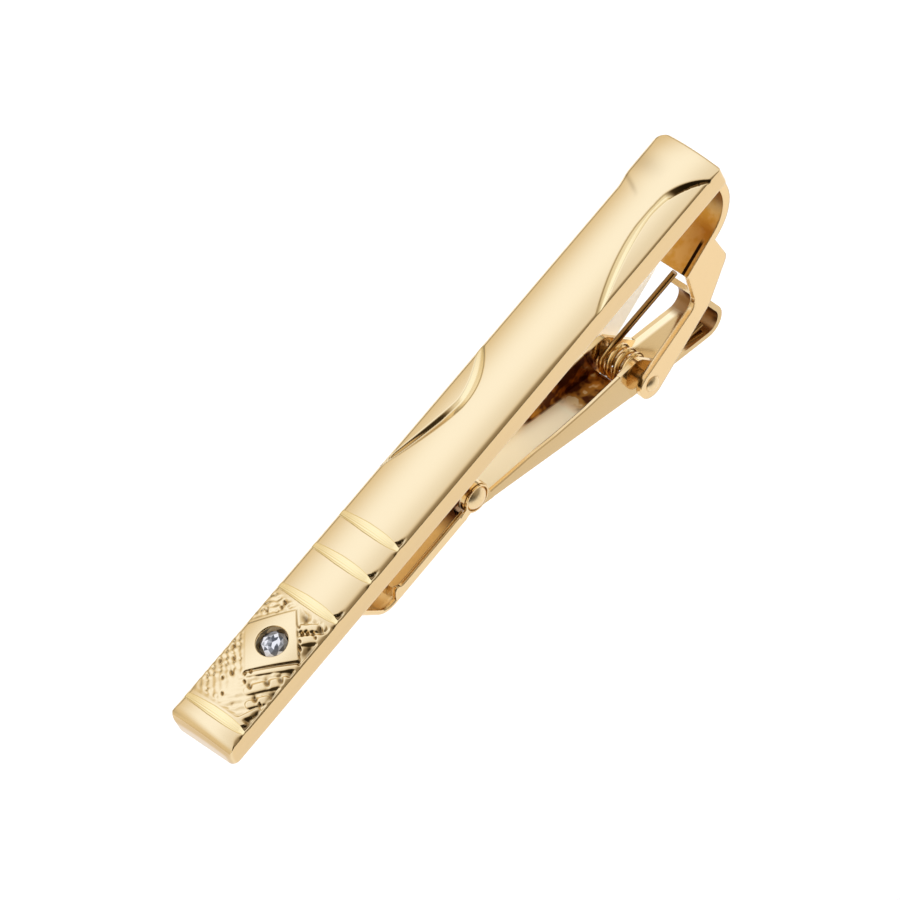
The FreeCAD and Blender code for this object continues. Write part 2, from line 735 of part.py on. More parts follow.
# Every object is sound before any piece is written
doc.recompute()
for item in doc.Objects:
    if "Invalid" in item.State or "Error" in item.State:
        raise RuntimeError(f"{item.Name} failed: {item.State}")
pieces = [front_bar, crystal, hinge_bracket, hinge_pin, lever_arm, torsion_spring, jaw_pin, jaw]
for piece in pieces:
    if piece.Shape.isNull() or not piece.Shape.isValid() or len(piece.Shape.Solids) != 1:
        raise RuntimeError(f"{piece.Label} is not one sound solid")
os.makedirs("parts", exist_ok=True)
for piece in pieces:
    piece.Shape.exportStep(f"parts/{piece.Label}.step")
    box = piece.Shape.BoundBox
    print(f"{piece.Label}: X {box.XMin:.2f} to {box.XMax:.2f}, Y {box.YMin:.2f} to {box.YMax:.2f}, "
          f"Z {box.ZMin:.2f} to {box.ZMax:.2f}, {piece.Shape.Volume:.2f} mm3")
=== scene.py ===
import math

import bmesh
import bpy
import numpy as np
from mathutils import Matrix, Vector


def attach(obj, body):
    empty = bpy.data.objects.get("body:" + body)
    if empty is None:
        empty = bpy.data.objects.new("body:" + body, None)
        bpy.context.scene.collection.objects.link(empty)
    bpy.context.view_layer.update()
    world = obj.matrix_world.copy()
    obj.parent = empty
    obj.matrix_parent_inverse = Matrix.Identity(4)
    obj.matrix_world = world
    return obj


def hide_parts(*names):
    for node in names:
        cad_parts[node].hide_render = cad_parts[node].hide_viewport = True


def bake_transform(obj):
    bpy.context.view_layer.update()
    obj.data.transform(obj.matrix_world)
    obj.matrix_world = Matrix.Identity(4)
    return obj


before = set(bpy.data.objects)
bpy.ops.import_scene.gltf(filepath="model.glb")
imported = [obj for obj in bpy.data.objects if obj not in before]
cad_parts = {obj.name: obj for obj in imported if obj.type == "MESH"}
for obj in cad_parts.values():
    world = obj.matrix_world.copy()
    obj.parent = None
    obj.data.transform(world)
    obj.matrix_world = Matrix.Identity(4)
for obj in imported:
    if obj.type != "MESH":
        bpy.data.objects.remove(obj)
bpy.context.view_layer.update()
MM = 0.001


# Gold plate. Every metal piece is brass, polished and plated in one bath, so all share one finish.
# The plate is pale where it mirrors the room once and turns deep orange where gold mirrors gold.
class Shade:
    """A shader socket that takes part in sums, and the one way to add a node to its tree."""

    def __init__(self, tree, socket):
        self.tree = tree
        self.socket = socket

    def add(self, kind, settings=None, **inputs):
        node = self.tree.nodes.new(kind)
        for name, value in (settings or {}).items():
            setattr(node, name, value)
        for name, value in inputs.items():
            place = node.inputs[int(name[1:])] if name[1:].isdigit() else node.inputs[name.replace("_", " ")]
            if isinstance(value, Shade):
                self.tree.links.new(value.socket, place)
            else:
                place.default_value = value
        return node

    def maths(self, operation, first, second):
        node = self.add("ShaderNodeMath", {"operation": operation}, _0=first, _1=second)
        return Shade(self.tree, node.outputs[0])

    def __add__(self, other):
        return self.maths("ADD", self, other)

    def __radd__(self, other):
        return self.maths("ADD", other, self)

    def __sub__(self, other):
        return self.maths("SUBTRACT", self, other)

    def __rsub__(self, other):
        return self.maths("SUBTRACT", other, self)

    def __mul__(self, other):
        return self.maths("MULTIPLY", self, other)

    def __rmul__(self, other):
        return self.maths("MULTIPLY", other, self)


def finished(material, **looks):
    """Sets the inputs of a material's shell, each to a plain value or to a shader value."""
    shell = material.node_tree.nodes["Principled BSDF"]
    for name, value in looks.items():
        place = shell.inputs[name.replace("_", " ")]
        if isinstance(value, Shade):
            material.node_tree.links.new(value.socket, place)
        else:
            place.default_value = value


def plated(name, colour, roughness, edge):
    """A polished gold finish whose sharp edges look rounded by the radius edge."""
    material = bpy.data.materials.new(name)
    material.use_nodes = True
    finished(material, Base_Color=(*colour, 1), Metallic=1, Roughness=roughness)
    if edge:
        tree = material.node_tree
        worn = Shade(tree, None).add("ShaderNodeBevel", {"samples": 6}, Radius=edge)
        finished(material, Normal=Shade(tree, worn.outputs[0]))
    return material


def axes(tree, output):
    """The three parts of a coordinate: Object is the place on the piece, Normal the way it faces."""
    start = Shade(tree, None)
    whole_vector = Shade(tree, start.add("ShaderNodeTexCoord").outputs[output])
    split = start.add("ShaderNodeSeparateXYZ", Vector=whole_vector)
    return [Shade(tree, split.outputs[axis]) for axis in "XYZ"]


def marked(tree, name):
    """A value that the mesh carries on its points."""
    return Shade(tree, Shade(tree, None).add("ShaderNodeAttribute", {"attribute_name": name}).outputs["Fac"])


def eased(value, low, high):
    """0 below low, 1 above high and a smooth step between them."""
    node = value.add("ShaderNodeMapRange", {"interpolation_type": "SMOOTHSTEP"}, Value=value,
                     From_Min=low, From_Max=high)
    return Shade(value.tree, node.outputs["Result"])


def mixed(share, first, second):
    """The first colour where share is 0 and the second where it is 1."""
    first = first if isinstance(first, Shade) else (*first, 1)
    node = share.add("ShaderNodeMix", {"data_type": "RGBA"}, _0=share, _6=first, _7=(*second, 1))
    return Shade(share.tree, node.outputs[2])


plate_tone, plate_polish = (0.86, 0.65, 0.36), 0.12
clasp_gold = plated("clasp_gold", plate_tone, plate_polish, 0.1 * MM)
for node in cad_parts.values():
    node.data.materials.clear()
    node.data.materials.append(clasp_gold)

# The bar's plate is a little paler. Its cuts are painted a brighter gold as a painted highlight and have a
# softer polish;
# painted shade darkens the pits, hollows, crevice, notches and wedges, and the upright near side and decorated
# end are painted a darker gold than the crown as painted shade.
bar_tone, bar_polish = (0.82, 0.63, 0.355), 0.1
cut_highlight_tone, painted_shade_tone = (0.92, 0.73, 0.36), (0.14, 0.075, 0.022)
side_shade_tone, end_shade_tone = (0.763, 0.55, 0.28), (0.65, 0.46, 0.235)
bar_gold = plated("bar_gold", bar_tone, bar_polish, 0)
# One mark gives the cuts their painted highlight, the other gives the bar its painted shade.
cut_highlight_mark, painted_shade_mark = marked(bar_gold.node_tree, "cut_highlight"), marked(bar_gold.node_tree, "painted_shade")
face_x, face_y, _ = axes(bar_gold.node_tree, "Normal")
# The near side and the decorated end are painted darker, as painted shade.
near_side, near_end = eased(-1 * face_y, 0.75, 0.98), eased(-1 * face_x, 0.6, 0.95)
tone = mixed(0.95 * painted_shade_mark, mixed(cut_highlight_mark, bar_tone, cut_highlight_tone), painted_shade_tone)
tone = mixed(near_end, mixed(near_side, tone, side_shade_tone), end_shade_tone)
finished(bar_gold, Base_Color=tone, Roughness=bar_polish + 0.14 * cut_highlight_mark)

# Hinge bracket: one brass strip, brazed by its end to the bar's back, bent round and folded down into two ears.
# The inside of the bend is rougher and painted a mottled brown as painted shade, darkest up by the bar, with a
# black line of painted shade along each fold; the far ear's inner face is satin, painted pale cream and glowing
# faintly as painted light.
bracket_tone, bracket_polish = (0.83, 0.6, 0.31), 0.13
inside_shade_brown, bend_top_shade_brown, fold_shade_black = (0.62, 0.33, 0.07), (0.2, 0.09, 0.02), (0.02, 0.008, 0.003)
painted_pale_cream, satin_glow, satin_strength = (0.98, 0.93, 0.82), (1, 0.93, 0.78), 0.42
bend_x, bend_z = 24.925 * MM, -0.5 * MM


def grained(tree, scale, detail):
    """A noise that stays with the piece."""
    start = Shade(tree, None)
    place = Shade(tree, start.add("ShaderNodeTexCoord").outputs["Object"])
    return Shade(tree, start.add("ShaderNodeTexNoise", Vector=place, Scale=scale, Detail=detail).outputs["Fac"])


bracket_gold = plated("bracket_gold", bracket_tone, bracket_polish, 0.22 * MM)
spot_x, spot_y, spot_z = axes(bracket_gold.node_tree, "Object")
face_x, face_y, face_z = axes(bracket_gold.node_tree, "Normal")
off_side = spot_y.maths("ABSOLUTE", spot_y, 0)
inward = (bend_x - spot_x) * face_x + (bend_z - spot_z) * face_z
# Painted shade inside the bend, mottled and darkest up by the bar, with a black line of it along each fold.
rough_shaded_inside = eased(inward, 1 * MM, 2 * MM) * eased(spot_x, 21.5 * MM, 22.5 * MM)
mottle = 0.62 + 0.38 * eased(grained(bracket_gold.node_tree, 900.0, 3.0), 0.4, 0.62)
bend_top_shade = 0.8 * rough_shaded_inside * eased(spot_z, -3 * MM, -1.6 * MM)
fold_shade = eased(off_side, 2.38 * MM, 2.44 * MM) * (1 - eased(off_side, 2.66 * MM, 2.72 * MM))
fold_shade = rough_shaded_inside * fold_shade * (1 - eased(spot_x, 24.8 * MM, 25.3 * MM))
# The far ear's inner face is satin, painted pale cream and glowing faintly, as painted light.
satin_and_glow = eased(-1 * face_y, 0.8, 0.95) * eased(spot_y, 2.2 * MM, 2.4 * MM)
tone = mixed(bend_top_shade, mixed(rough_shaded_inside * mottle, bracket_tone, inside_shade_brown), bend_top_shade_brown)
tone = mixed(satin_and_glow, mixed(fold_shade, tone, fold_shade_black), painted_pale_cream)
finished(bracket_gold, Base_Color=tone, Roughness=bracket_polish + 0.2 * rough_shaded_inside + 0.6 * satin_and_glow,
         Emission_Color=mixed(satin_and_glow, (0, 0, 0), satin_glow), Emission_Strength=satin_strength)
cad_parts["hinge_bracket"].data.materials[0] = bracket_gold

# Lever arm: a channel of thin brass sheet on the hinge pin, with the thumb plate curled at its end.
# The channel's floor is satin, painted pale and glowing faintly as painted light, up to the mottled painted
# shade by the hinge, which has painted glints in it and starts further down on the far wall. The outer near
# wall and the thumb plate's floor are painted darker as painted shade, the thumb plate's far rim is a pale,
# glowing painted highlight, and the inside of the curl is painted dark as painted shade and is rougher.
wall_shade_tone, floor_highlight_tone, floor_glow, floor_strength = (0.64, 0.45, 0.21), (1, 0.88, 0.64), (1, 0.84, 0.56), 0.14
channel_shade_tone, deep_shade_tone, glint_tone = (0.62, 0.3, 0.06), (0.12, 0.035, 0.012), (0.95, 0.72, 0.38)
thumb_shade_tone, rim_highlight_tone, curl_shade_tone = (0.68, 0.49, 0.25), (1, 0.9, 0.66), (0.22, 0.09, 0.02)
curl_x, curl_z = 22.55 * MM, -13.4 * MM
lever_gold = plated("lever_gold", plate_tone, plate_polish, 0)
spot_x, spot_y, spot_z = axes(lever_gold.node_tree, "Object")
face_x, face_y, face_z = axes(lever_gold.node_tree, "Normal")
within = 1 - eased(spot_y.maths("ABSOLUTE", spot_y, 0), 1.6 * MM, 1.7 * MM)
upward = within * eased(face_z, -0.3, -0.1)
past_hinge = eased(spot_x, 14.2 * MM, 14.8 * MM)
at_curl = eased(spot_x, 21.6 * MM, 22.6 * MM)
far_wall = eased(spot_y, 1.25 * MM, 1.5 * MM)
# Where the painted shade by the hinge lies: from further down on the far wall.
shade_reach = far_wall * eased(spot_x, 6.4 * MM, 7.4 * MM)
shade_reach = shade_reach + (1 - far_wall) * eased(spot_x, 9.8 * MM, 11.3 * MM)
smooth_floor = upward * (1 - past_hinge) * (1 - shade_reach)
channel = upward * (1 - past_hinge) * shade_reach
# A pale, glowing painted highlight along the thumb plate's far rim.
far_rim = upward * eased(spot_y, 0.95 * MM, 1.25 * MM) * eased(spot_x, 16.6 * MM, 17.4 * MM) * (1 - at_curl)
# Painted shade inside the curl, which is also rougher.
toward = (curl_x - spot_x) * face_x + (curl_z - spot_z) * face_z
curl = 0.9 * eased(toward, 0.2 * MM, 0.6 * MM) * at_curl
# Mottled deep painted shade and painted glints in that shaded channel.
grain = grained(lever_gold.node_tree, 750.0, 2.0)
deep_shade, glint = eased(grain, 0.42, 0.56), 1 - eased(grain, 0.34, 0.4)
# The outer near wall and the thumb plate's floor are painted darker, as painted shade.
outer_wall = eased(-1 * face_y, 0.8, 0.95) * (1 - within)
tone = mixed(smooth_floor, mixed(outer_wall, plate_tone, wall_shade_tone), floor_highlight_tone)
tone = mixed(channel * deep_shade, mixed(channel, tone, channel_shade_tone), deep_shade_tone)
tone = mixed(channel * glint * eased(spot_x, 8 * MM, 11 * MM), tone, glint_tone)
tone = mixed(far_rim, mixed(0.7 * upward * past_hinge, tone, thumb_shade_tone), rim_highlight_tone)
tone = mixed(curl, tone, curl_shade_tone)
finished(lever_gold, Base_Color=tone,
         Roughness=plate_polish + 0.2 * channel + 0.2 * curl + 0.33 * smooth_floor,
         Emission_Color=mixed(smooth_floor + far_rim, (0, 0, 0), floor_glow), Emission_Strength=floor_strength)

# Rivets: the hinge pin and the jaw pin, turned brass headed over and burnished with the clasp already plated,
# so their domes are satin beside the polished sheet.
rivet_gold = plated("rivet_gold", plate_tone, 0.36, 0.1 * MM)
for name in ("hinge_pin", "jaw_pin"):
    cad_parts[name].data.materials[0] = rivet_gold

# Front bar: one brass bar, cast with its nugget panel and lozenge, then grooved, polished and plated.
# The crown rolls over into the sides, and the far side is drawn in a little up to the flared hinge end.
bar_half, bar_end = 3.1, 29.0
side_height, crown = 2.1, 0.5


def spaced(start, stop, step):
    """Even places from start up to the last one before stop."""
    return list(np.linspace(start, stop, max(2, round((stop - start) / step) + 1))[:-1])


# Fine steps where the bar is cut or pressed and at its rims, coarse ones where it is smooth.
brink = [0, 0.01, 0.03, 0.06, 0.1, 0.15, 0.21, 0.28, 0.36, 0.45]
stretches = ((-28.5, -27.5, 0.15), (-27.5, -26.4, 0.03), (-26.4, -16.7, 0.056), (-16.7, -15.5, 0.03),
             (-15.5, -12.7, 0.2), (-12.7, -11.6, 0.03), (-11.6, -9.5, 0.2), (-9.5, -8.4, 0.03),
             (-8.4, -5.2, 0.2), (-5.2, -4.6, 0.12), (-4.6, 8.0, 0.095), (8.0, 13.6, 0.28), (13.6, 28.3, 0.085))
along = [-bar_end + step for step in brink]
for start, stop, step in stretches:
    along += spaced(start, stop, step)
along += [bar_end - step for step in reversed(brink)]
across = [-bar_half + step for step in brink] + spaced(-2.6, 2.6, 0.056) + [2.6]
across += [bar_half - step for step in reversed(brink)]
along, across = np.array(along), np.array(across)
x, y = np.meshgrid(along, across, indexing="ij")

# Rounded plan: each corner has its own radius, and every point knows how far it stands from the rim.
rim = np.minimum(np.minimum(y + bar_half, bar_half - y), np.minimum(x + bar_end, bar_end - x))
corners = ((-1, -1, 0.6), (-1, 1, 0.8), (1, -1, 0.35), (1, 1, 1.3))
for end, flank, radius in corners:
    inward_x = end * x - (bar_end - radius)
    inward_y = flank * y - (bar_half - radius)
    corner = (inward_x > 0) & (inward_y > 0)
    reach = np.maximum(inward_x, inward_y)
    ring = np.hypot(inward_x, inward_y)
    pull = np.where(corner & (ring > 0), reach / np.where(ring > 0, ring, 1), 1)
    x = np.where(corner, end * (bar_end - radius + inward_x * pull), x)
    y = np.where(corner, flank * (bar_half - radius + inward_y * pull), y)
    rim = np.where(corner, radius - reach, rim)

# The crown arches across the bar and sags toward both ends.
arch = side_height + crown * (1 - (y / bar_half) ** 2)
sag_run, sag_drop = 1.6, 0.14
z = arch.copy()
for end in (-1, 1):
    z -= sag_drop * np.clip((end * x - (bar_end - sag_run)) / sag_run, 0, 1) ** 2

# Cross grooves: bright-cut with a wheel, widest past the middle and run out to a point at the near rim.
# The wheel leaves fine lines along each.
groove_places, groove_half, groove_deep = (-26.98, -16.13, -12.18, -8.98), 0.44, 0.11
wheel_lines, wheel_deep = 14, 0.013
opening = np.clip((y + bar_half) / 2.2, 0, 1)
half_width = groove_half * np.sqrt(opening * (2 - opening)) * (1 - 0.42 * np.clip((y - 0.2) / 2.9, 0, 1))
cut_highlight = np.zeros(x.shape)
for place in groove_places:
    off = np.clip((x - place) / np.maximum(half_width, 1e-4), -2, 2)
    hollow, lined = np.clip(1 - off ** 2, 0, 1), np.cos(off * wheel_lines)
    z -= (groove_deep * np.sqrt(hollow) + wheel_deep * hollow * lined) * np.clip(half_width / 0.3, 0, 1)
    # The grooves are marked for a painted highlight, brighter along the wheel lines.
    cut_highlight = np.maximum(cut_highlight, np.clip(hollow * 5, 0, 1) * (0.7 + 0.3 * lined))


def curve(points, apex_x, apex_y, left, right, rim_y, left_power, right_power):
    """A curve from the rim up to its apex and back to the rim, each half with its own fullness."""
    share = np.where(points < apex_x, (apex_x - points) / (apex_x - left), (points - apex_x) / (right - apex_x))
    power = np.where(points < apex_x, left_power, right_power)
    return apex_y + (rim_y - apex_y) * np.clip(share, 0, 1.3) ** power


# Curved grooves: two crescents swept in from opposite rims, hollow across and steep at both lips. Each row has
# the curve of the crown-side lip, that of the rim-side lip, where the even hollow begins and ends its turn into
# a skewed notch, where across it the notch is deepest and how deep, then the strength of its painted highlight
# and how dark the painted shade in its notch is.
near_sweep = ((21.9, -0.82, 14.0, 27.85, -3.1, 1.65, 3.3), (22.9, -1.3, 15.2, 27.55, -3.1, 1.45, 1.9),
              24.7, 25.3, 0.93, 0.36, 0.5, 0.9)
far_sweep = ((2.9, 0.42, -4.9, 7.95, 3.1, 1.45, 2.4), (2.9, 1.27, -4.6, 7.2, 3.1, 1.15, 1.75),
             3.4, 1.0, 0.62, 0.36, 0.4, 0.1)
shade = np.zeros(x.shape)
for outer, inner, even, skewed, bottom, deep, tint, notch_shade_strength in (near_sweep, far_sweep):
    crown_side, rim_side = curve(x, *outer), curve(x, *inner)
    wide = rim_side - crown_side
    share = np.clip((y - crown_side) / np.where(np.abs(wide) > 0.02, wide, 1), 0, 1)
    inside = (x > outer[2]) & (x < outer[3]) & (share > 0) & (share < 1)
    skew = np.clip((x - even) / (skewed - even), 0, 1)
    shallow = np.interp(share, (0, 0.08, 0.5, 0.93, 1), (0, 0.05, 0.1, 0.03, 0))
    notch = deep * np.minimum(share / bottom, (1 - share) / (1 - bottom))
    full = np.sqrt(np.clip(np.abs(wide) / 0.6, 0, 1))
    z -= np.where(inside, full * ((1 - skew) * shallow + skew * notch), 0)
    cut_highlight = np.maximum(cut_highlight, np.where(inside, tint * (1 - skew), 0))
    # Painted shade: thin dark lines along both lips and a dark fill in the skewed notch.
    lip_shade = 0.24 * (1 - skew) * (np.exp(-((share - 0.06) / 0.05) ** 2) + np.exp(-((share - 0.94) / 0.05) ** 2))
    notch_shade = notch_shade_strength * skew * np.clip(share / 0.12, 0, 1) * np.clip((0.97 - share) / 0.05, 0, 1)
    shade = np.maximum(shade, np.where(inside, lip_shade + notch_shade, 0))

# Nugget panel: fine cast bumps in rows round the lozenge on the far side, a smooth patch left of it, and on the
# near side bold ridges with pits, running out at the rim with hollows between their ends. Pits and hollows get
# painted shade.
lozenge_x, lozenge_y, lozenge_long, lozenge_wide, lozenge_rise = -20.13, 0.12, 2.92, 2.72, 0.025
panel_from, panel_to, panel_fade, row_gap = -26.4, -16.65, 0.3, 0.26
spread = np.abs(x - lozenge_x) / lozenge_long + np.abs(y - lozenge_y) / lozenge_wide
panel = np.clip((x - panel_from) / panel_fade, 0, 1) * np.clip((panel_to - x) / panel_fade, 0, 1)
near_half = np.clip((0.3 - y) / 1.2, 0, 1)
relief = -0.07 - 0.07 * near_half + 0.02 * np.cos((spread - 1.12) / row_gap * 2 * math.pi)
chance = np.random.default_rng(7)
for row in range(9):
    ring = 1.25 + row_gap * row
    count = int(round(ring * math.hypot(lozenge_long, lozenge_wide) / 0.6))
    for quarter_x, quarter_y in ((-1, -1), (-1, 1), (1, -1), (1, 1)):
        for number in range(count):
            share = (number + 0.5 + chance.uniform(-0.4, 0.4)) / count
            ring_here = ring + chance.uniform(-0.05, 0.05)
            pit_x = lozenge_x + quarter_x * ring_here * lozenge_long * share
            pit_y = quarter_y * ring_here * lozenge_wide * (1 - share)
            radius, deep, raised = chance.uniform(0.09, 0.2), chance.uniform(-0.05, 0.1), chance.uniform(0, 0.1)
            if -26.2 < pit_x < -16.8 and abs(pit_y) < 2.9:
                away = ((x - pit_x) ** 2 + (y - pit_y) ** 2) / radius ** 2
                relief -= max(deep, 0) * np.exp(-away)
                crest = ((x - pit_x - 0.26) ** 2 + (y - pit_y - 0.1) ** 2) / (1.5 * radius) ** 2
                relief += raised * np.exp(-crest)
smooth_patch = np.exp(-(((x + 24.6) / 1.2) ** 2 + ((y - 0.1) / 1.3) ** 2))
relief *= 1 - 0.75 * smooth_patch
relief -= 0.13 * np.clip((-2.1 - y) / 0.6, 0, 1)

# Ridges: from one place to another, with half their width.
ridges = (((-23.3, -0.2), (-20.55, -2.9), 0.24), ((-24.2, -1.1), (-21.95, -2.85), 0.42),
          ((-25.0, -1.9), (-23.9, -2.7), 0.36), ((-26.5, -2.0), (-25.0, -2.7), 0.26),
          ((-18.8, -1.8), (-17.65, -3.0), 0.4), ((-18.1, -1.1), (-17.1, -2.4), 0.34))
ridge_foot, ridge_high = -0.14, 0.17
for (from_x, from_y), (to_x, to_y), half in ridges:
    run_x, run_y = to_x - from_x, to_y - from_y
    share = np.clip(((x - from_x) * run_x + (y - from_y) * run_y) / (run_x ** 2 + run_y ** 2), 0, 1)
    gap = np.hypot(x - from_x - share * run_x, y - from_y - share * run_y) / half
    relief = np.maximum(relief, ridge_foot + ridge_high * np.sqrt(np.clip(1 - gap ** 2, 0, 1)))

# Larger pits: place and radius. Painted shade darkens them.
pits = ((-17.29, -0.94, 0.26), (-18.04, -0.97, 0.1), (-18.35, -1.48, 0.13), (-18.07, -1.75, 0.13),
        (-17.85, -2.14, 0.12), (-17.29, -2.42, 0.22), (-18.0, -2.5, 0.1), (-18.9, -1.77, 0.1),
        (-19.36, -2.06, 0.13), (-19.82, -2.34, 0.1), (-20.36, -2.84, 0.1), (-23.27, -0.02, 0.12),
        (-22.91, -0.31, 0.11), (-22.9, -1.89, 0.22), (-22.12, -2.56, 0.22), (-23.87, -1.03, 0.17),
        (-23.77, -0.44, 0.1), (-24.44, -1.99, 0.2), (-24.52, -2.54, 0.11), (-21.91, 2.4, 0.13),
        (-22.72, 1.65, 0.13), (-23.41, 2.51, 0.13), (-23.75, 0.9, 0.14), (-25.47, 0.36, 0.1),
        (-24.46, 1.25, 0.1), (-17.1, 1.33, 0.15), (-18.31, 2.18, 0.12), (-17.52, 1.32, 0.1))
pit_deep = 0.24
painted_shade = np.zeros(x.shape)
for pit_x, pit_y, radius in pits:
    away = ((x - pit_x - 0.4 * (y - pit_y)) / radius) ** 2 + ((y - pit_y) / (1.2 * radius)) ** 2
    relief -= pit_deep * np.exp(-away)
    painted_shade = np.maximum(painted_shade, np.exp(-1.6 * away))

# Hollows between the ridges' ends: place, length along the bar and depth. Then the crevice round the lozenge.
# Painted shade darkens the hollows and part of the crevice.
hollows = ((-19.2, -2.75, 0.55, 0.26), (-21.3, -2.95, 0.3, 0.2), (-23.5, -2.95, 0.45, 0.26),
           (-25.3, -2.95, 0.5, 0.2), (-26.2, -2.75, 0.3, 0.2))
hollow_wide, crevice_deep = 0.34, 0.16
for gap_x, gap_y, long, deep in hollows:
    away = ((x - gap_x) / long) ** 2 + ((y - gap_y) / hollow_wide) ** 2
    relief -= deep * np.exp(-away)
    painted_shade = np.maximum(painted_shade, 0.75 * np.exp(-away))
crevice = np.exp(-((spread - 1.045) / 0.035) ** 2) * (y < lozenge_y) * np.where(x < lozenge_x, 1, 0.3)
relief -= crevice_deep * crevice
painted_shade = np.maximum(painted_shade, 0.8 * crevice * np.clip((x + 23) / 1.5, 0, 1)) * panel * (spread > 1)

# The panel leaves a narrow strip along the near rim clear, so that the rim runs straight.
clear = np.clip((y + bar_half - 0.14) / 0.12, 0, 1)
step = np.clip((spread - 1.0) / np.where((y < lozenge_y) | (x > lozenge_x), 0.08, 0.2), 0, 1) * clear
z += panel * np.where(spread > 1, relief * step, lozenge_rise * np.clip((1 - spread) / 0.12, 0, 1))

# Seat: bored into the lozenge, with a bright slanted wall round the stone.
seat_radius, seat_slope, seat_floor = 1.3, 3, 1.5
seat_ring = np.hypot(x - lozenge_x, y)
seat_wall = np.clip((seat_radius - seat_ring) * seat_slope, 0, None)
z = np.where(seat_ring < seat_radius, np.maximum(z - seat_wall, seat_floor), z)

# The rolled rims, crisp on the near side and soft at the ends: how far a point is from the rim, how wide the
# roll is and how far it drops.
tips = sum(np.clip(1.4 - np.abs(x - place) / 0.4, 0, 1) for place in groove_places)
near_run = (0.46 - 0.24 * np.clip((x - 8) / 5, 0, 1)) * (1 - 0.6 * tips)
rolls = ((y + bar_half, near_run, 0.12 + 0.26 * near_run), (bar_half - y, 0.5, 0.42), (x + bar_end, 1.3, 1.15),
         (bar_end - x, 0.7, 0.3), (rim, 0.2, 0.2))
for reach, level_run, drop in rolls:
    over = np.clip(1 - reach / level_run, 0, 1)
    z = np.minimum(z, arch - drop * (1 - np.sqrt(1 - over ** 2)))

# The wheel's run-out beside each groove is a shallow wedge at the near rim, painted dark as painted shade.
near_level = side_height - 0.24
wedge_long, wedge_wide, wedge_deep, wedge_shade = 1.9, 0.82, 0.2, 0.92
z = np.where((panel > 0) & (y < -2.2), np.maximum(z, near_level), z)
for place in groove_places:
    past = np.clip((x - place - 0.1) / wedge_long, 0, 1)
    wedge = np.clip((wedge_wide * (1 - past) ** 2 - (y + bar_half)) / 0.12, 0, 1)
    wedge = wedge * np.clip((x - place - 0.05) / 0.1, 0, 1)
    wedge *= clear * (1 - np.clip(3 * cut_highlight, 0, 1))
    z = np.maximum(z - wedge_deep * wedge, np.minimum(z, near_level))
    shade = np.maximum(shade, wedge_shade * wedge)

# The far side is drawn in up to the flare at the hinge end. A faint crease and a dip by the flare are painted
# shade only, not shaped.
flare_from, flare_run, drawn_most, drawn_run = 23.4, 1.8, 0.24, 53
crease_shade = np.exp(-((x - 23.7 - 0.49 * (y - 0.92)) / 0.22) ** 2) * np.clip((y - 0.7) / 0.9, 0, 1)
dip_shade = np.exp(-((x - 26.1) / 0.8) ** 2) * np.clip((y + 0.2) / 2, 0, 1)
# The notches, wedges, crease and dip join the panel's painted shade.
painted_shade = np.maximum(np.maximum(painted_shade * clear, shade), 0.3 * crease_shade + 0.16 * dip_shade)
flare = np.clip((x - flare_from) / flare_run, 0, 1)
drawn = drawn_most * (x + bar_end) / drawn_run * (1 - flare * flare * (3 - 2 * flare))
y = -bar_half + (y + bar_half) * (1 - drawn / (2 * bar_half))

# The skirt: rings from the rim down to the flat back, each with its share of the way down and its inset.
skirt = ((0.34, 0), (0.67, 0), (0.86, 0), (0.95, 0.01), (0.985, 0.04), (1, 0.1))
rows, columns = x.shape
places = np.stack([x, y, z], axis=-1).reshape(-1, 3)
index = np.arange(rows * columns).reshape(rows, columns)
faces = np.stack([index[:-1, :-1], index[1:, :-1], index[1:, 1:], index[:-1, 1:]], axis=-1)
faces = faces.reshape(-1, 4).tolist()
loop = np.concatenate([index[:, 0], index[-1, 1:], index[-2::-1, -1], index[0, -2:0:-1]])
following = np.roll(np.arange(len(loop)), -1)
layers, ring_before = [places], loop
for drop, inset in skirt:
    ring_places = places[loop]
    ring_places[:, 2] *= 1 - drop
    ring_places[:, 0] *= 1 - inset / bar_end
    ring_places[:, 1] *= 1 - inset / bar_half
    ring_now = np.arange(len(loop)) + sum(len(layer) for layer in layers)
    layers.append(ring_places)
    faces += np.stack([ring_before, ring_now, ring_now[following], ring_before[following]], axis=-1).tolist()
    ring_before = ring_now
faces.append(ring_before[::-1].tolist())


def solid(name, places, faces, materials, smooth=True):
    """A mesh object from places in millimetres."""
    mesh = bpy.data.meshes.new(name)
    mesh.from_pydata([tuple(float(value) * MM for value in place) for place in places], [], faces)
    for material in materials:
        mesh.materials.append(material)
    mesh.polygons.foreach_set("use_smooth", [smooth] * len(mesh.polygons))
    mesh.update()
    piece = bpy.data.objects.new(name, mesh)
    bpy.context.scene.collection.objects.link(piece)
    return piece


front = solid("front_bar_cast", np.concatenate(layers), faces, [bar_gold])
# The points carry the cuts' painted highlight and the bar's painted shade.
off_rim, skirt_marks = np.clip(rim / 0.05, 0, 1), np.zeros(len(front.data.vertices) - len(places))
for name, values in (("cut_highlight", cut_highlight), ("painted_shade", painted_shade)):
    mark_layer = front.data.attributes.new(name, "FLOAT", "POINT")
    mark_layer.data.foreach_set("value", np.concatenate([(values * off_rim).ravel(), skirt_marks]))
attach(front, "frame")
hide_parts("front_bar")

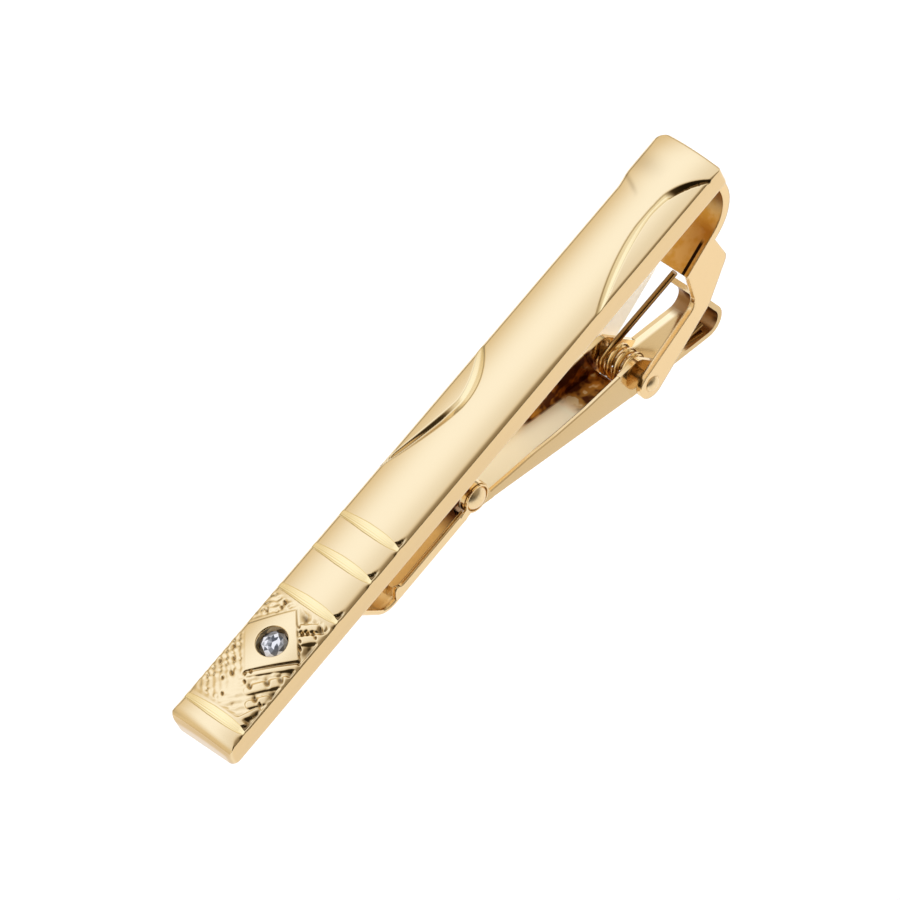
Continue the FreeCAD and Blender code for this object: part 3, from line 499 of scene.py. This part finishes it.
# Stone: a small clear cut crystal with a silvered back, cemented in the seat below the lozenge's face.
# Its facets mirror the room in different greys, so each facet carries its own tone.
stone_rings, sides = [(0.4, 2.36, 0), (0.64, 2.33, 1), (0.88, 2.24, 0), (1.13, 2.02, 1)], 9
stone_top, stone_back, stone_turn = 2.36, 1.45, 0.2
facet_greys, facet_blue = [0.03, 0.08, 0.2, 0.42, 0.9], 0.98
stone_places, stone_faces = [(lozenge_x, 0, stone_top)], []
for radius, level, turned in stone_rings:
    for number in range(sides):
        angle = 2 * math.pi / sides * (number + 0.5 * turned) + stone_turn
        stone_places.append((lozenge_x + radius * math.cos(angle), radius * math.sin(angle), level))
stone_places.append((lozenge_x, 0, stone_back))
for number in range(sides):
    after = (number + 1) % sides
    stone_faces.append((0, 1 + number, 1 + after))
    for ring, (_, _, turned) in enumerate(stone_rings[:-1]):
        near, far = 1 + ring * sides, 1 + (ring + 1) * sides
        stone_faces.append((near + number, far + (after if turned else number), near + after))
        stone_faces.append((far + number, far + after, near + (number if turned else after)))
    stone_faces.append((len(stone_places) - 1, far + after, far + number))
stone_glass = bpy.data.materials.new("stone_glass")
stone_glass.use_nodes = True
tone = Shade(stone_glass.node_tree, None).add("ShaderNodeAttribute", {"attribute_name": "tone"})
finished(stone_glass, Base_Color=Shade(stone_glass.node_tree, tone.outputs["Color"]), Roughness=0.08, IOR=1.7)
stone = solid("crystal_cut", stone_places, stone_faces, [stone_glass], False)
tones = stone.data.color_attributes.new("tone", "FLOAT_COLOR", "CORNER")
greys = np.random.default_rng(11)
for face in stone.data.polygons:
    grey = greys.choice(facet_greys)
    for corner in face.loop_indices:
        tones.data[corner].color = (grey * facet_blue, grey * facet_blue, grey, 1)
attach(stone, "frame")
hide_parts("crystal")

# Lever's sheet: one bent brass sheet. The nose, the hinge end and the thumb plate keep the solid's own shape;
# the channel between them has walls that are low at the nose and rise toward the hinge.
lever_half, lever_thick, lever_bend, lever_start, lever_stop = 2.0, 0.4, 0.06, 0.24, 14.0
foot_line = ((lever_start, lever_stop), (-5.46, -11.73))
brow_line = ((lever_start, 2.18, 4.81, 7.15, 10.34, lever_stop), (-4.6, -5.2, -5.95, -6.8, -7.72, -8.5))
edge_inset, edge_rise, fillet, fillet_mid = 0.1, 0.07, 0.25, 0.07


def trough(places, faces, stations, half, sheet, bend):
    """A closed channel. A station is the floor's underside, the way up the walls and their height."""
    for number_here, (place_x, place_z, up_x, up_z, wall) in enumerate(stations):
        section = [(half, wall), (half, bend)]
        for turn in (20, 45, 70):
            angle = math.radians(turn)
            section.append((half - bend + bend * math.cos(angle), bend - bend * math.sin(angle)))
        section += [(half - bend, 0)]
        section += [(-side, up) for side, up in reversed(section)]
        inner = [(-half + edge_inset, wall + edge_rise), (-half + sheet - edge_inset, wall + edge_rise),
                 (-half + sheet, wall), (-half + sheet, min(sheet + fillet, wall)),
                 (-half + sheet + fillet_mid, min(sheet + fillet_mid, wall)), (-half + sheet + fillet, sheet)]
        section += inner + [(-side, up) for side, up in reversed(inner)]
        base, count = len(places), len(section)
        places += [(place_x + up_x * up, side, place_z + up_z * up) for side, up in section]
        if number_here:
            for number in range(count):
                here, after = base - count + number, base - count + (number + 1) % count
                faces.append((here, after, after + count, here + count))
        else:
            faces.append(tuple(range(base, base + count)))
    faces.append(tuple(range(base + count - 1, base - 1, -1)))


def outward(piece):
    """Turns all faces of a piece's closed shells outward."""
    facets = bmesh.new()
    facets.from_mesh(piece.data)
    bmesh.ops.recalc_face_normals(facets, faces=facets.faces)
    facets.to_mesh(piece.data)
    facets.free()


lever_places, lever_faces, lever_line = [], [], []
for place in np.linspace(lever_start, lever_stop, 57):
    foot, brow = np.interp(place, *foot_line), np.interp(place, *brow_line)
    lever_line.append((place, foot, 0, 1, brow - foot - edge_rise))
trough(lever_places, lever_faces, lever_line, lever_half, lever_thick, lever_bend)
whole = bmesh.new()
whole.from_mesh(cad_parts["lever_arm"].data)
whole.transform(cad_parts["lever_arm"].matrix_world)
bmesh.ops.remove_doubles(whole, verts=whole.verts, dist=0.001 * MM)
for place, away in ((lever_start, 1), (lever_stop, -1)):
    part = whole.copy()
    bmesh.ops.bisect_plane(part, geom=part.verts[:] + part.edges[:] + part.faces[:], dist=0.0001 * MM,
                           plane_co=(place * MM, 0, 0), plane_no=(away, 0, 0), clear_outer=True)
    bmesh.ops.holes_fill(part, edges=[edge for edge in part.edges if edge.is_boundary])
    part.verts.index_update()
    base = len(lever_places)
    lever_places += [tuple(corner.co / MM) for corner in part.verts]
    lever_faces += [tuple(base + corner.index for corner in face.verts) for face in part.faces]
    part.free()
whole.free()
lever_piece = solid("lever_sheet", lever_places, lever_faces, [lever_gold])
outward(lever_piece)
lever_piece.data.set_sharp_from_angle(angle=math.radians(28))
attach(lever_piece, "lever")
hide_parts("lever_arm")

# Torsion spring: hard wire wound round the hinge pin. One leg runs up under the end of the bracket's base,
# the other lies on the lever's thumb plate.
hinge_x, hinge_z, coil, wire = 15.65, -11.1, 1.22, 0.27
coil_side, turns, turn_steps, leg_steps = 1.22, 3, 24, 12
base_rest, thumb_rest = (22.4, -1.35, -5.68), (22.3, -1.24, -13.9)
start_angle, end_angle = math.radians(123.7), math.radians(255.94 + 360 * turns)
coil_start = (hinge_x + coil * math.cos(start_angle), coil_side, hinge_z + coil * math.sin(start_angle))
wire_tone, leg_shade_tone = (0.8, 0.56, 0.25), (0.3, 0.16, 0.05)
track = [base_rest]
for step in range(1, leg_steps):
    share = step / leg_steps
    track.append(tuple(rest + (start - rest) * share for rest, start in zip(base_rest, coil_start)))
for step in range(turn_steps * turns + 1):
    share = step / (turn_steps * turns)
    angle, side = start_angle + (end_angle - start_angle) * share, coil_side * (1 - 2 * share)
    track.append((hinge_x + coil * math.cos(angle), side, hinge_z + coil * math.sin(angle)))
track.append(thumb_rest)
rail = solid("spring_rail", track, [], [])
rail.data.edges.add(len(track) - 1)
rail.data.edges.foreach_set("vertices", [end for step in range(len(track) - 1) for end in (step, step + 1)])
drawing = bpy.data.node_groups.new("drawn_wire", "GeometryNodeTree")
for way_in, kind, label in (("INPUT", "Geometry", "Rail"), ("INPUT", "Float", "Wire radius"),
                            ("INPUT", "Material", "Finish"), ("OUTPUT", "Geometry", "Wire")):
    drawing.interface.new_socket(label, in_out=way_in, socket_type="NodeSocket" + kind)
entry, leave = drawing.nodes.new("NodeGroupInput"), drawing.nodes.new("NodeGroupOutput")
to_curve, sweep = drawing.nodes.new("GeometryNodeMeshToCurve"), drawing.nodes.new("GeometryNodeCurveToMesh")
round_wire = drawing.nodes.new("GeometryNodeCurvePrimitiveCircle")
joined, coat = drawing.nodes.new("GeometryNodeRealizeInstances"), drawing.nodes.new("GeometryNodeSetMaterial")
round_wire.inputs["Resolution"].default_value = 14
sweep.inputs["Fill Caps"].default_value = True
for first, second in ((entry.outputs["Rail"], to_curve.inputs["Mesh"]),
                      (to_curve.outputs["Curve"], sweep.inputs["Curve"]),
                      (entry.outputs["Wire radius"], round_wire.inputs["Radius"]),
                      (round_wire.outputs["Curve"], sweep.inputs["Profile Curve"]),
                      (sweep.outputs["Mesh"], joined.inputs["Geometry"]),
                      (joined.outputs["Geometry"], coat.inputs["Geometry"]),
                      (entry.outputs["Finish"], coat.inputs["Material"]),
                      (coat.outputs["Geometry"], leave.inputs["Wire"])):
    drawing.links.new(first, second)
spring_gold = plated("spring_gold", wire_tone, 0.2, 0)
spot_x, _, spot_z = axes(spring_gold.node_tree, "Object")
past_x, past_z = spot_x - hinge_x * MM, spot_z - hinge_z * MM
# The legs are painted dark brown, as painted shade.
on_leg = eased(past_x * past_x + past_z * past_z, (1.6 * MM) ** 2, (2.2 * MM) ** 2)
finished(spring_gold, Base_Color=mixed(on_leg, wire_tone, leg_shade_tone))
winding = rail.modifiers.new("winding", "NODES")
winding.node_group = drawing
for socket in drawing.interface.items_tree:
    if socket.name == "Wire radius":
        winding[socket.identifier] = wire * MM
    if socket.name == "Finish":
        winding[socket.identifier] = spring_gold
drawn_mesh = bpy.data.meshes.new_from_object(rail.evaluated_get(bpy.context.evaluated_depsgraph_get()))
drawn_mesh.polygons.foreach_set("use_smooth", [True] * len(drawn_mesh.polygons))
spring = bpy.data.objects.new("torsion_spring_wire", drawn_mesh)
bpy.context.scene.collection.objects.link(spring)
bpy.data.objects.remove(rail)
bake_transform(spring)
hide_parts("torsion_spring")

# Lip of the lever's window: the floor's own edge, bent down round the coil, so no light shows under it.
# It is one sheet with the lever and turns with it.
lip_inside, lip_outside, lip_half = 1.56, 1.7, 1.5
lip_places, lip_faces = [], []
for degrees in range(186, 219, 4):
    angle = math.radians(degrees)
    for radius, edge in ((lip_inside, -lip_half), (lip_inside, lip_half), (lip_outside, lip_half),
                         (lip_outside, -lip_half)):
        lip_places.append((hinge_x + radius * math.cos(angle), edge, hinge_z + radius * math.sin(angle)))
last = len(lip_places) - 4
for base in range(0, last, 4):
    for side in range(4):
        beside = (side + 1) % 4
        lip_faces.append((base + side, base + beside, base + 4 + beside, base + 4 + side))
lip_faces += [(3, 2, 1, 0), (last, last + 1, last + 2, last + 3)]
lip = solid("lever_window_lip", lip_places, lip_faces, [lever_gold])
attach(lip, "lever")

# Jaw: a small brass channel that swivels on the rivet at the lever's nose, held by a knuckle between the
# lever's walls and a ring round each rivet head. Each wall ends in a hooked tooth before the upturned toe.
jaw_tone, inside_shade_tone = (0.84, 0.62, 0.33), (0.74, 0.5, 0.22)
toe_highlight_tone, shadow_tone = (0.93, 0.74, 0.46), (0.14, 0.05, 0.02)
jaw_gold = plated("jaw_gold", plate_tone, plate_polish, 0.06 * MM)
spot_x, spot_y, _ = axes(jaw_gold.node_tree, "Object")
_, _, face_z = axes(jaw_gold.node_tree, "Normal")
# Inside the jaw is painted darker as painted shade, lighter at the toe as a painted highlight and darkest by
# the pivot as painted shadow.
within = 1 - eased(spot_y.maths("ABSOLUTE", spot_y, 0), 1.8 * MM, 1.9 * MM)
inside = within * eased(face_z, -0.2, 0.1)
tone = mixed(0.9 * inside, jaw_tone, inside_shade_tone)
tone = mixed(inside * eased(spot_x * -1, 9.8 * MM, 10.6 * MM), tone, toe_highlight_tone)
tone = mixed(inside * eased(spot_x, -5 * MM, -2.8 * MM), tone, shadow_tone)
finished(jaw_gold, Base_Color=tone, Roughness=plate_polish + 0.18 * inside)

pivot_x, pivot_z, jaw_half, jaw_sheet, jaw_bend, jaw_foot = -1.05, -3.45, 2.17, 0.4, 0.3, -4.45
toe_x, toe_z, toe_round, toe_lean = -11.0, -2.45, 2, 58
hook_x, hook_high, wall_end, wall_high, run_out = -10.25, 0.36, -10.8, 0.68, 0.3
flat = [-2.55 - 0.4 * step for step in range(18)] + [-9.7 - 0.1 * step for step in range(13)]
stations = [(place, jaw_foot, 0, 1) for place in flat]
toe_steps = [(degrees, 0) for degrees in range(0, toe_lean, 4)]
toe_steps += [(toe_lean, run) for run in (0.6, 1.8, 3.0, 3.7)]
for degrees, run in toe_steps:
    lean, rise = math.sin(math.radians(degrees)), math.cos(math.radians(degrees))
    stations.append((toe_x - toe_round * lean - run * rise, toe_z - toe_round * rise + run * lean, lean, rise))
jaw_places, jaw_faces, walled = [], [], []
for place_x, place_z, up_x, up_z in stations:
    hook = hook_high * math.exp(-((place_x - hook_x) / run_out) ** 2)
    wall = jaw_sheet + 0.02 + (wall_high + hook) * min(1, max(0, (place_x - wall_end) / run_out)) ** 0.5
    walled.append((place_x, place_z, up_x, up_z, wall))
trough(jaw_places, jaw_faces, walled, jaw_half, jaw_sheet, jaw_bend)


def ring_plate(places, faces, rims, bore, low, high):
    """A plate round the jaw's pivot from low to high across, bored, with its reach given all the way round."""
    base, count = len(places), len(rims)
    for number, reach in enumerate(rims):
        angle = 2 * math.pi * number / count
        for radius, level in ((reach, low), (reach, high), (bore, high), (bore, low)):
            places.append((pivot_x + radius * math.cos(angle), level, pivot_z + radius * math.sin(angle)))
    for number in range(count):
        here, after = base + 4 * number, base + 4 * ((number + 1) % count)
        for side in range(4):
            beside = (side + 1) % 4
            faces.append((here + side, here + beside, after + beside, after + side))


ear_sides, ear_reach, ear_bore, ear_inside, ear_outside = 36, 1.2, 1.08, 2.03, 2.2
knuckle_reach, knuckle_bore, knuckle_half = 0.95, 0.55, 1.45
knuckle_foot = ((-2.9, -knuckle_half, -4.3), (-1.72, knuckle_half, -3.0))
tooth, tooth_tip, tooth_lean = ((-10.85, -1.2, -4.1), (-10.15, 1.2, -3.6)), -2.8, 0.3
ear_rims = []
for number in range(ear_sides):
    angle = 2 * math.pi * number / ear_sides
    to_wall = 1.95 / -math.cos(angle) if math.cos(angle) < -0.1 else 0
    ear_rims.append(to_wall if 0 < to_wall and -0.95 < to_wall * math.sin(angle) < 0.2 else ear_reach)
ring_plate(jaw_places, jaw_faces, ear_rims, ear_bore, -ear_outside, -ear_inside)
ring_plate(jaw_places, jaw_faces, ear_rims, ear_bore, ear_inside, ear_outside)
ring_plate(jaw_places, jaw_faces, [knuckle_reach] * 24, knuckle_bore, -knuckle_half, knuckle_half)
for block in (knuckle_foot, tooth):
    base = len(jaw_places)
    jaw_places += [(block[a][0], block[b][1], block[c][2]) for a in (0, 1) for b in (0, 1) for c in (0, 1)]
    jaw_faces += [tuple(base + corner for corner in face) for face in
                  ((0, 1, 3, 2), (4, 6, 7, 5), (0, 4, 5, 1), (2, 3, 7, 6), (0, 2, 6, 4), (1, 5, 7, 3))]
for corner, lean in ((1, tooth_lean), (3, tooth_lean), (5, -tooth_lean), (7, -tooth_lean)):
    top_x, top_y, _ = jaw_places[base + corner]
    jaw_places[base + corner] = (top_x + lean, top_y, tooth_tip)
jaw_piece = solid("jaw_channel", jaw_places, jaw_faces, [jaw_gold], False)
outward(jaw_piece)
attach(jaw_piece, "jaw")
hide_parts("jaw")

# Table: a white sweep well below the clip, so that its shadow stays soft.
bpy.ops.mesh.primitive_plane_add(size=2, location=(0, 0, -45 * MM))
table = bpy.context.object
table.name = "table"
table_white = bpy.data.materials.new("table_white")
table_white.use_nodes = True
finished(table_white, Base_Color=(0.93, 0.93, 0.93, 1), Roughness=1, Emission_Color=(1, 1, 1, 1),
         Emission_Strength=0.25, Specular_IOR_Level=0)
table.data.materials.append(table_white)

# Room: a white tent, full overhead, greyer toward the horizon, tan on the side of the lens with one dark card,
# and bright behind the decorated end. One soft lamp stands high on the hinge side. The lens sees plain white.
world = bpy.data.worlds.new("tent")
bpy.context.scene.world = world
world.use_nodes = True
tent = world.node_tree
run, depth, height = axes(tent, "Generated")
wall_grey, roof_white = (0.88, 0.81, 0.68), (1.21, 1.35, 1.68)
lens_tan, card_tan = (0.92, 0.76, 0.54), (0.9, 0.7, 0.4)
dark_card = eased(run * -0.62 + depth * -0.74 + height * 0.25, 0.62, 0.86)
lit = eased(height, 0.38, 0.88) * (1 - 0.65 * eased(depth * -1, -0.4, 0.25))
end_wall = eased(run * -1, 0.3, 0.75) * eased(depth, -0.45, 0.05)
lens_side = eased(depth * -1, 0.18, 0.75)
shaded = (0.4 + 0.6 * height.maths("MAXIMUM", eased(height, 0, 0.45), end_wall)) * (1 - 0.86 * dark_card)
shaded = shaded * (1 - 0.06 * eased(depth * -1, -0.28, 0.02)) * (1 - 0.6 * lens_side)
colour = mixed(0.8 * lens_side, mixed(lit, wall_grey, roof_white), lens_tan)
colour = mixed(dark_card, colour, card_tan)
tint = shaded.add("ShaderNodeVectorMath", {"operation": "SCALE"}, _0=colour, _3=shaded)
seen = Shade(tent, shaded.add("ShaderNodeLightPath").outputs["Is Camera Ray"])
backdrop = mixed(seen, Shade(tent, tint.outputs[0]), (1, 1, 1))
tent.links.new(backdrop.socket, tent.nodes["Background"].inputs["Color"])
tent.nodes["Background"].inputs["Strength"].default_value = 1

softbox = bpy.data.lights.new("softbox", "AREA")
softbox.shape = "SQUARE"
softbox.size = 0.4
softbox.energy = 0.6
lamp = bpy.data.objects.new("softbox", softbox)
bpy.context.scene.collection.objects.link(lamp)
lamp.visible_glossy = False
lamp.location = Vector((0.38, 0.4, 0.83)) * 0.5
lamp.rotation_euler = lamp.location.to_track_quat("Z", "Y").to_euler()

scene = bpy.context.scene
scene.view_settings.view_transform = "Standard"

# Camera: the photograph's view, from above and a little to the decorated end, rolled so that the bar runs
# up to the right. The matrix's columns are the picture's right, its up, the way back to the lens and its stand.
picture, scale = 900, 13.48
right = Vector((0.6304, -0.7296, -0.2662)).normalized()
back = right.cross(Vector((0.7483, 0.4788, 0.46))).normalized()
up = back.cross(right)
width = picture / scale * MM
target = up * (2.8 / scale * MM) - right * (2.6 / scale * MM)
lens = bpy.data.cameras.new("lens")
lens.sensor_width = 36
lens.lens = 600
lens.clip_end = 10
stand = target + back * (width * lens.lens / lens.sensor_width)
camera = bpy.data.objects.new("camera", lens)
scene.collection.objects.link(camera)
camera.matrix_world = Matrix((
    (right.x, up.x, back.x, stand.x),
    (right.y, up.y, back.y, stand.y),
    (right.z, up.z, back.z, stand.z),
    (0, 0, 0, 1),
))
scene.camera = camera
